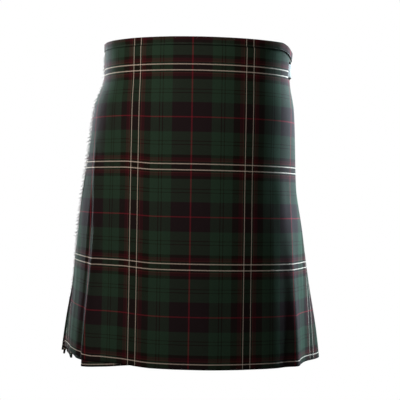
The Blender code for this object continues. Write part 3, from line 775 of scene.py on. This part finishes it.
faces, face_uv = [], []
for strand in range(STRANDS):
    height = float(root_z[strand, 0, 0])
    faces += tube_faces(strand * STRAND_SIDES * STRAND_RINGS, STRAND_SIDES, STRAND_RINGS)
    for ring in range(STRAND_RINGS - 1):
        face_uv += [(FRINGE_LENGTH * ring / (STRAND_RINGS - 1), height)] * (4 * STRAND_SIDES)
    face_uv += [(0.0, height)] * (2 * STRAND_SIDES)
fringe = mesh_piece("fringe", points.tolist(), faces)
fringe.data.uv_layers.new(name="cloth").data.foreach_set("uv", np.array(face_uv).ravel())
finish_piece(fringe, loose_yarn)
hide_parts("fringe_apron")
print("strands:", STRANDS, "faces:", len(faces))

# %% [markdown]
# ## The top bands
# A strip's upright lines seldom meet the cloth's own. A bevelled box could stand for a band, but
# it would hide that this is thin cloth that turns over an edge. So the fold is drawn once, as a
# section, and carried round the waist.

# %% Fold the bands over the edges
BAND_HEIGHT = 0.015
BAND_GAP = 0.0003           # between a band and the cloth that it binds
BAND_WALL = 0.0008
BAND_CORNER = 0.0011
BAND_PATTERN = 0.0076       # from the middle of the white pair to the band's top edge
BAND_STRETCH = 1.0168       # the band's upright lines stand closer than the cloth's
BAND_SHIFT = 0.0036
BAND_DROP = 0.0035          # its pattern starts this much lower in front


def band_profile(outer, inner):
    """The band's path over the top edge, as out, height under the top, and cloth distance."""
    corner = np.linspace(0, math.pi / 2, 5)
    up = [(outer, -BAND_HEIGHT * k / 6) for k in (6, 5, 4, 3, 2, 1)]
    over = [(outer - BAND_CORNER * (1 - math.cos(a)), BAND_CORNER * (math.sin(a) - 1))
            for a in corner]
    across = [(inner + BAND_CORNER * (1 - math.sin(a)), BAND_CORNER * (math.cos(a) - 1))
              for a in corner]
    down = [(inner, -BAND_HEIGHT * k / 4) for k in (1, 2, 3, 4)]
    rows = np.array(up + over + across + down)
    steps = np.hypot(*np.diff(rows, axis=0).T)
    distance = np.concatenate(([0.0], np.cumsum(steps)))
    return rows[:, 0], rows[:, 1], BAND_PATTERN + BAND_HEIGHT - distance


def fold_band(name, node, s, outer, inner):
    """One band round the places s, over a cloth whose two faces are at outer and inner."""
    clear = BAND_GAP + BAND_WALL / 2
    out, under_top, pattern = band_profile(outer + clear, inner - BAND_GAP - CLOTH / 2)
    uneven = 0.0002 * np.sin(s * 90) + 0.00015 * np.sin(s * 233 + 1)
    points = place(s, top_edge(s) - CLOTH / 2 + under_top[:, None], out[:, None] + uneven)
    weft = s * BAND_STRETCH + BAND_SHIFT
    warp = LEVEL_PAIR + pattern[::-1, None] + BAND_DROP * ease((0.16 - s) / 0.06)
    band = cloth_sheet(name, points[::-1], weft, warp, wall=BAND_WALL, offset=0.0)
    finish_piece(band, tartan)
    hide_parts(node)
    return band


waist_out = float(read(PLEATS_OUT, TOP))
stack = float(read(PITCH, TOP)) * 2 * (1 + UNDERLAP)
apron_run = np.linspace(APRON_EDGE, folded_edge(TOP), 150)
under_out = float(read(UNDER_OUT, TOP))
under_end = APRON_EDGE + (folded_edge(TOP) - APRON_EDGE) * UNDER_SHARE
under_run = np.linspace(read(UNDER_END, TOP), under_end, 100)
back_run = np.linspace(pleat_s(TOP, 0) + BAND_GAP, pleat_s(TOP, PLEATS) + CLOTH, 160)
apron_band = fold_band("apron_band", "band_apron", apron_run, 0.0, -CLOTH)
under_band = fold_band("under_apron_band", "band_under", under_run,
                       under_out + CLOTH / 2, under_out - CLOTH / 2)
back_band = fold_band("pleat_band", "band_back", back_run,
                      waist_out + CLOTH / 2 + BAND_GAP, waist_out - stack - CLOTH / 2 - BAND_GAP)
print("bands:", apron_band.name, under_band.name, back_band.name)

# %% [markdown]
# ## Plain finishes
# Strap leather is black and dyed through, with a fine grain and a soft, uneven gloss. The buckles
# are bright nickel with faint scratches. Thread is matt and dark. None has a pattern that follows
# its form, so noise and cells on the piece's own coordinates do, and no UV map is needed.

# %% Leather, metal and thread
def leather_material():
    """Black strap leather."""
    material, tree, shader = new_material("strap_leather", 0.5)
    shader.inputs["Specular IOR Level"].default_value = 0.10
    cells = tree.nodes.new("ShaderNodeTexVoronoi")
    cells.inputs["Scale"].default_value = 900.0
    tree.links.new(own_place(tree), cells.inputs["Vector"])
    worn = noise(tree, 60.0, 5.0)
    colour = ramp(tree, worn, ((0.35, (0.008, 0.007, 0.007)), (0.75, (0.020, 0.017, 0.015))))
    tree.links.new(colour, shader.inputs["Base Color"])
    rough = maths(tree, "MULTIPLY_ADD", noise(tree, 130.0, 4.0), 0.25, 0.55)
    tree.links.new(rough, shader.inputs["Roughness"])
    height = maths(tree, "ADD", cells.outputs["Distance"], noise(tree, 420.0, 4.0))
    bump(tree, shader, height, 0.00016, 0.5)
    return material


def metal_material():
    """Bright nickel plate."""
    material, tree, shader = new_material("buckle_nickel", 0.2)
    shader.inputs["Metallic"].default_value = 1.0
    shader.inputs["Base Color"].default_value = (0.74, 0.73, 0.70, 1.0)
    scratch = noise(tree, 300.0, 6.0)
    tree.links.new(maths(tree, "MULTIPLY_ADD", scratch, 0.22, 0.08), shader.inputs["Roughness"])
    bump(tree, shader, scratch, 0.00003, 0.5)
    return material


def thread_material(name, colour):
    """Sewing thread."""
    material, tree, shader = new_material(name, 0.7)
    twist = noise(tree, 2500.0)
    shade = ramp(tree, twist, ((0.3, tuple(0.6 * c for c in colour)), (0.7, colour)))
    tree.links.new(shade, shader.inputs["Base Color"])
    bump(tree, shader, twist, 0.00008, 0.5)
    return material


leather = leather_material()
metal = metal_material()
band_thread = thread_material("band_thread", (0.030, 0.012, 0.014))
strap_thread = thread_material("strap_thread", (0.045, 0.042, 0.040))
print("finishes:", leather.name, metal.name, band_thread.name, strap_thread.name)

# %% [markdown]
# ## Straps and chapes
# A strap is sewn to each end of the strip: one inside the outer apron's free edge, and one on the
# under apron, which comes out through the slit. Each goes over its buckle's front bar. The chape is
# the short leather that is folded round the rear bar and sewn to the pleats. Both could be curves
# with a bevel, but that thins the leather where it narrows it, at the strap's rounded end. So a bar
# section with round edges is swept along a side view of the leather, and the holes are punched.

# %% Sweep leather along a path
STRAP_Z = 0.014
STRAP_WIDTH = 0.026
STRAP_WALL = 0.0020
CHAPE_WIDTH = 0.022
CHAPE_WALL = 0.0012
BAR = 0.00175               # radius of the buckle's wire
BAR_OUT = -0.0006
# Distances past the apron's edge.
FRONT_BAR = 0.028
REAR_BAR = 0.052
CHAPE_END = 0.084
STRAP_TIP = 0.100
SLOT_AT = 0.0400
SPARE_HOLES = (0.066, 0.080)
SLOT_SIZE = (0.0108, 0.0036)
HOLE_RADIUS = 0.0021
CHAPE_OUT = -0.00415
STRAP_END_OUT = -0.00060
# Side views of the leather: distance past the apron's edge, and out.
STRAP_ENDS = ((0.022, -0.00375), (0.032, -0.00350), (0.044, 0.00210), (0.050, 0.00390),
              (0.056, 0.00380), (0.064, 0.00150), (0.074, -0.00040), (STRAP_TIP, STRAP_END_OUT))
STRAP_ROOTS = {
    "right": ((-0.024, -0.00285), (0.000, -0.00285), (0.012, -0.00300)),
    "left": ((-0.070, -0.00320), (-0.045, -0.00320), (-0.037, -0.00310), (-0.020, 0.00180),
             (-0.012, 0.00180), (0.002, 0.00160), (0.012, -0.00120)),
}


def side_s(side, past):
    """The s of a place some distance past the apron's edge at one side of the waist."""
    return APRON_EDGE - past if side == "right" else folded_edge(STRAP_Z) + past


def round_path(path, steps):
    """More points along a path, on a smooth curve through its own."""
    points = np.array([path[0], *path, path[-1]])
    fine = []
    for before, start, end, after in zip(points, points[1:], points[2:], points[3:]):
        for t in np.arange(steps) / steps:
            fine.append(0.5 * (2 * start + (end - before) * t
                               + (2 * before - 5 * start + 4 * end - after) * t ** 2
                               + (3 * start - before - 3 * end + after) * t ** 3))
    return np.array([*fine, path[-1]])


def sweep_leather(name, side, path, widths, wall):
    """A flat bar of leather with round edges along a side view, with its width at each point."""
    edge = np.linspace(-math.pi / 2, math.pi / 2, 5)
    rounding = wall / 2 / STRAP_WIDTH * (1 - np.cos(edge))
    flat = np.array((0.25, 0.0, -0.25))
    across = np.concatenate((0.5 - rounding, flat, -0.5 + rounding[::-1], -flat))
    through = np.concatenate((np.sin(edge), [1, 1, 1], np.sin(edge[::-1]), [-1, -1, -1])) * wall / 2
    along = np.gradient(path, axis=0)
    along /= np.linalg.norm(along, axis=1, keepdims=True)
    past = path[:, :1] - along[:, 1:] * through
    out = path[:, 1:] + along[:, :1] * through
    points = place(side_s(side, past), STRAP_Z + np.array(widths)[:, None] * across, out)
    faces = tube_faces(0, points.shape[1], len(path))
    piece = mesh_piece(name, points.reshape(-1, 3).tolist(), faces)
    recalculate(piece)
    return piece


def recalculate(piece):
    """Turn all faces outwards."""
    select_only(piece)
    bpy.ops.object.mode_set(mode="EDIT")
    bpy.ops.mesh.select_all(action="SELECT")
    bpy.ops.mesh.normals_make_consistent(inside=False)
    bpy.ops.object.mode_set(mode="OBJECT")
    piece.select_set(False)


POINT_LENGTH = 0.016        # of the strap's rounded end


def strap_widths(path):
    """The strap's width along its path, with a rounded point at its end."""
    to_tip = np.clip((STRAP_TIP - path[:, 0]) / POINT_LENGTH, 0, 1)
    return STRAP_WIDTH * np.sqrt(np.clip(1 - (1 - to_tip) ** 2.2, 0.02, 1))


print("strap:", STRAP_WIDTH * 1000, "mm wide")

# %% Cut the straps and their holes
def punch(piece, side, past, half_length, half_width):
    """Punch one oval hole through a strap."""
    centre = place(side_s(side, past), STRAP_Z, 0.0)
    outward = place(side_s(side, past), STRAP_Z, 0.01) - centre
    turn = math.atan2(outward[1], outward[0])
    bpy.ops.mesh.primitive_cylinder_add(vertices=24, radius=1, depth=0.03, location=centre,
                                        rotation=(0, math.pi / 2, turn))
    tool = bpy.context.object
    tool.scale = (half_width, half_length, 1)
    step = piece.modifiers.new("hole", "BOOLEAN")
    step.operation = "DIFFERENCE"
    step.solver = "EXACT"
    step.object = tool
    apply_modifiers(piece)
    bpy.data.objects.remove(tool)


TIP_START = 0.086           # from here on the strap is flat, with more points for its rounded end
TIP_STEPS = 10
for side, root in STRAP_ROOTS.items():
    view = round_path((*root, *STRAP_ENDS), 6)
    tip = np.linspace(TIP_START, STRAP_TIP - 0.0003, TIP_STEPS)
    view = view[view[:, 0] < TIP_START - 0.001]
    view = np.concatenate((view, np.stack((tip, np.full(TIP_STEPS, STRAP_END_OUT)), axis=1)))
    strap = sweep_leather(f"leather_strap_{side}", side, view, strap_widths(view), STRAP_WALL)
    punch(strap, side, SLOT_AT, SLOT_SIZE[0] / 2, SLOT_SIZE[1] / 2)
    for hole in SPARE_HOLES:
        punch(strap, side, hole, HOLE_RADIUS, HOLE_RADIUS)
    finish_piece(strap, leather)
    strap.data.set_sharp_from_angle(angle=math.radians(45))
    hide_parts(f"strap_{side}")
    print(strap.name, "faces:", len(strap.data.polygons))

# %% Fold the chapes round the rear bars
BAR_GAP = 0.00035           # between the leather and the bar
LOOP = BAR + BAR_GAP + CHAPE_WALL / 2
turns = np.radians(np.linspace(-100, -330, 17))
upper = CHAPE_OUT + CHAPE_WALL + BAND_GAP
loop = np.stack((REAR_BAR + LOOP * np.cos(turns), BAR_OUT + LOOP * np.sin(turns)), axis=1)
flat = np.linspace(CHAPE_END, REAR_BAR + 0.007, 8)
view = np.concatenate((
    np.stack((flat, np.full(len(flat), CHAPE_OUT)), axis=1), loop,
    [(REAR_BAR + 0.0085, upper), (REAR_BAR + 0.016, upper), (CHAPE_END - 0.004, upper)]))
for side in STRAP_ROOTS:
    chape = sweep_leather(f"buckle_chape_{side}", side, view, np.full(len(view), CHAPE_WIDTH),
                          CHAPE_WALL)
    finish_piece(chape, leather)
    chape.data.set_sharp_from_angle(angle=math.radians(45))
    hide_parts(f"chape_{side}")
    print(chape.name, "faces:", len(chape.data.polygons))

# %% [markdown]
# ## Buckles
# The buckle is a rounded frame of bright wire with a prong that rests on the front bar. A torus
# could be squared into the frame, but its wire would come out uneven. So frame and prong are curves
# with a round bevel, made meshes, and the prong's radius falls towards its tip.

# %% Bend the buckles
FRAME_HALF = 0.0145 + BAR
FRAME_CORNER = 0.004
PRONG_RADIUS = 0.0011
PRONG_PATH = ((0.0484, -0.0006), (0.0410, -0.0003), (0.0340, 0.0012), (0.0280, 0.0026),
              (0.0262, 0.0024))
# Share of the way along the prong, share of its radius.
PRONG_TAPER = ((0, 1.1), (0.6, 1), (0.9, 0.75), (1, 0.3))


def wire(name, points, radii, closed):
    """A round wire through points, made a mesh."""
    curve = bpy.data.curves.new(name, "CURVE")
    curve.dimensions = "3D"
    curve.bevel_depth = 1.0
    curve.bevel_resolution = 5
    curve.use_fill_caps = True
    spline = curve.splines.new("POLY")
    spline.points.add(len(points) - 1)
    for knot, point, radius in zip(spline.points, points, radii):
        knot.co = (*point, 1)
        knot.radius = radius
    spline.use_cyclic_u = closed
    piece = bpy.data.objects.new(name, curve)
    bpy.context.collection.objects.link(piece)
    select_only(piece)
    bpy.ops.object.convert(target="MESH")
    piece.select_set(False)
    recalculate(piece)
    return piece


CORNER_POINTS = 9
quarter = np.radians(np.linspace(0, 90, CORNER_POINTS))
turn = np.concatenate([quarter + math.pi / 2 * k for k in range(4)])
right = np.repeat((1, -1, -1, 1), CORNER_POINTS)
up = np.repeat((1, 1, -1, -1), CORNER_POINTS)
past = (FRONT_BAR + REAR_BAR) / 2 + right * ((REAR_BAR - FRONT_BAR) / 2 - FRAME_CORNER)
past = past + FRAME_CORNER * np.cos(turn)
height = STRAP_Z + up * (FRAME_HALF - FRAME_CORNER) + FRAME_CORNER * np.sin(turn)
for side in STRAP_ROOTS:
    ring = place(side_s(side, past), height, BAR_OUT)
    buckle = wire(f"buckle_{side}", ring, np.full(len(ring), BAR), True)
    line = round_path(PRONG_PATH, 5)
    radii = PRONG_RADIUS * read(PRONG_TAPER, np.linspace(0, 1, len(line)))
    points = place(side_s(side, line[:, 0]), STRAP_Z, line[:, 1])
    prong = wire(f"prong_{side}", points, radii, False)
    for piece, node in ((buckle, f"buckle_frame_{side}"), (prong, f"buckle_prong_{side}")):
        finish_piece(piece, metal)
        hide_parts(node)
    print(buckle.name, prong.name)

# %% [markdown]
# ## Stitches
# The bands are sewn down along their lower edge, and the leather along its edges. Stitches could
# be part of the material, but only real ones catch the light on their round backs. So a stitch is a
# small tube that dips into the cloth at both ends.

# %% Sew
STITCH_RISE = (-0.9, 0.35, 0.8, 0.35, -0.9)     # in radii, at even places along the stitch
STITCH_SHARE = 0.74         # of the way to the next stitch
STITCH_SIDES = 5


def sew(name, s, z, out, level, radius, material):
    """Stitches from place to place: each runs from one point to a little before the next."""
    s, z, out = (np.asarray(a, dtype=float) for a in np.broadcast_arrays(s, z, out))
    t = np.linspace(0, STITCH_SHARE, len(STITCH_RISE))
    points, faces = [], []
    for k in range(len(s) - 1):
        line_s, line_z = s[k] + (s[k + 1] - s[k]) * t, z[k] + (z[k + 1] - z[k]) * t
        line_out = out[k] + (out[k + 1] - out[k]) * t + radius * np.array(STITCH_RISE)
        for i in range(len(t)):
            for a in np.linspace(0, 2 * math.pi, STITCH_SIDES + 1)[:-1]:
                aside = radius * math.cos(a)
                points.append((line_s[i] + (0 if level else aside),
                               line_z[i] + (aside if level else 0),
                               line_out[i] + radius * math.sin(a)))
        faces += tube_faces(k * len(t) * STITCH_SIDES, STITCH_SIDES, len(t))
    points = np.array(points)
    piece = mesh_piece(name, place(points[:, 0], points[:, 1], points[:, 2]).tolist(), faces)
    recalculate(piece)
    finish_piece(piece, material)
    return piece


BAND_THREAD = 0.00022       # radius
STRAP_THREAD = 0.00028
BAND_STITCH = 0.0034        # from one stitch to the next
STRAP_STITCH = 0.0036
CHAPE_STITCH = 0.0034
BAND_SEAM = 0.0016          # from a band's lower edge up to its seam
BAND_SEAM_ENDS = 0.002      # the seam stops this far short of the band's ends
STITCHED_FROM = {"right": 0.030, "left": 0.056}     # along each strap from its sewn end
SEAM_HALF = 0.0105          # from the middle of a strap to its seams
CHAPE_SEAM = CHAPE_END - 0.0065
CHAPE_SEAM_HALF = 0.0085    # half the length of the seam across a chape


def band_stitches(name, s, outer):
    """A row of stitches just above a band's lower edge."""
    places = np.arange(s[0] + BAND_SEAM_ENDS, s[-1] - BAND_SEAM_ENDS, BAND_STITCH)
    z = top_edge(places) - BAND_HEIGHT + BAND_SEAM
    sew(name, places, z, outer + BAND_GAP + BAND_WALL, True, BAND_THREAD, band_thread)


band_stitches("apron_band_stitches", apron_run, 0.0)
band_stitches("pleat_band_stitches", back_run, waist_out + CLOTH / 2 + BAND_GAP)
for side, root in STRAP_ROOTS.items():
    view = round_path((*root, *STRAP_ENDS), 12)
    steps = np.concatenate(([0.0], np.cumsum(np.hypot(*np.diff(view, axis=0).T))))
    shown = np.arange(STITCHED_FROM[side], steps[-1] - POINT_LENGTH, STRAP_STITCH)
    past, out = np.interp(shown, steps, view[:, 0]), np.interp(shown, steps, view[:, 1])
    for name, height in (("upper", SEAM_HALF), ("lower", -SEAM_HALF)):
        sew(f"strap_stitches_{side}_{name}", side_s(side, past), STRAP_Z + height,
            out + STRAP_WALL / 2, True, STRAP_THREAD, strap_thread)
    rows = np.arange(-CHAPE_SEAM_HALF, CHAPE_SEAM_HALF + CHAPE_STITCH / 2, CHAPE_STITCH)
    sew(f"chape_stitches_{side}", side_s(side, CHAPE_SEAM), STRAP_Z + rows,
        upper + CHAPE_WALL / 2, False, STRAP_THREAD, strap_thread)
print("stitched: two bands, two straps, two chapes")

# %% [markdown]
# ## The sheets
# The outer apron, the under apron and the pleats are the three sheets of cloth.

print("sheets: outer apron, under apron, pleats")

# %% [markdown]
# ## Studio
# The kilt hangs as it is worn, with its hem at knee height over a plain pale floor. Two soft
# lights stand at the sides and a little behind, so that the flanks shine. The left one has a
# narrow beam, so that it lights that flank and hardly the front. A weak warm light in front keeps
# the dark check readable. The floor has a lamp of its own that is linked to it and lights nothing
# else, so that it can be pale while the wool stays dark. The surroundings are white behind the
# kilt and dim round it.

# %% Lay the floor
FLOOR_Z = -1.15
FLOOR_RADIUS = 2.7
bpy.ops.object.select_all(action="DESELECT")
bpy.ops.mesh.primitive_circle_add(vertices=128, radius=FLOOR_RADIUS, fill_type="NGON",
                                  location=(0, 0, FLOOR_Z))
floor = bpy.context.object
floor.name = "floor"
floor_finish, floor_tree, floor_shader = new_material("pale_floor", 0.8)
cloudy = noise(floor_tree, 3.0, 3.0)
shade = ramp(floor_tree, cloudy, ((0.3, (0.84, 0.84, 0.84)), (0.7, (0.88, 0.88, 0.88))))
floor_tree.links.new(shade, floor_shader.inputs["Base Color"])
floor.data.materials.append(floor_finish)
floor.visible_diffuse = False        # it throws no light back up at the cloth
print("floor at", FLOOR_Z)

# %% Set up the lights
# Each light: place, size, power in watts, colour, the height that it points at, spread in degrees.
LIGHTS = {
    "light_left": ((-1.41, 1.56, 0.15), (0.8, 0.6), 14.5, (0.80, 0.92, 0.96), -0.03, 38),
    "light_right": ((1.72, 1.22, 0.55), (0.8, 1.0), 76, (0.75, 0.90, 0.98), 0.30, 60),
    "light_front": ((-1.5, -1.6, 0.9), (1.0, 0.8), 7.0, (1.0, 0.85, 0.74), 0.10, 60),
    "floor_lamp": ((0.0, 0.0, 2.2), (8.0, 8.0), 290, (1.0, 1.0, 1.0), -1.0, 180),
}


def soft_light(name, at, size, power, colour, aim_z, spread):
    """A large soft light that points at the kilt's middle line."""
    data = bpy.data.lights.new(name, "AREA")
    data.shape = "RECTANGLE"
    data.size, data.size_y = size
    data.energy = power
    data.color = colour
    data.spread = math.radians(spread)
    light = bpy.data.objects.new(name, data)
    light.location = at
    aim = np.array((0.0, 0.0, aim_z)) - np.array(at)
    tilt = math.atan2(math.hypot(aim[0], aim[1]), -aim[2])
    light.rotation_euler = (tilt, 0, math.atan2(-aim[0], aim[1]))
    light.visible_camera = False
    bpy.context.collection.objects.link(light)
    return light


lights = {name: soft_light(name, *settings) for name, settings in LIGHTS.items()}
lit_floor = bpy.data.collections.new("lit_floor")
lit_floor.objects.link(floor)
lights["floor_lamp"].light_linking.receiver_collection = lit_floor
print("lights:", ", ".join(lights))

# %% Fill in the surroundings
ROUND_THE_KILT = ((0.95, 0.97, 1.0, 1), 0.085)      # colour and strength
BEHIND_THE_KILT = ((1, 1, 1, 1), 1.0)
world = bpy.data.worlds.new("surroundings")
world.use_nodes = True
bpy.context.scene.world = world
air = world.node_tree
air.nodes.clear()
chooser = air.nodes.new("ShaderNodeMixShader")
air.links.new(air.nodes.new("ShaderNodeLightPath").outputs["Is Camera Ray"], chooser.inputs["Fac"])
for entry, (colour, strength) in ((1, ROUND_THE_KILT), (2, BEHIND_THE_KILT)):
    background = air.nodes.new("ShaderNodeBackground")
    background.inputs["Color"].default_value = colour
    background.inputs["Strength"].default_value = strength
    air.links.new(background.outputs["Background"], chooser.inputs[entry])
air.links.new(chooser.outputs["Shader"], air.nodes.new("ShaderNodeOutputWorld").inputs["Surface"])
bpy.context.scene.view_settings.view_transform = "Standard"
print("surroundings:", world.name)
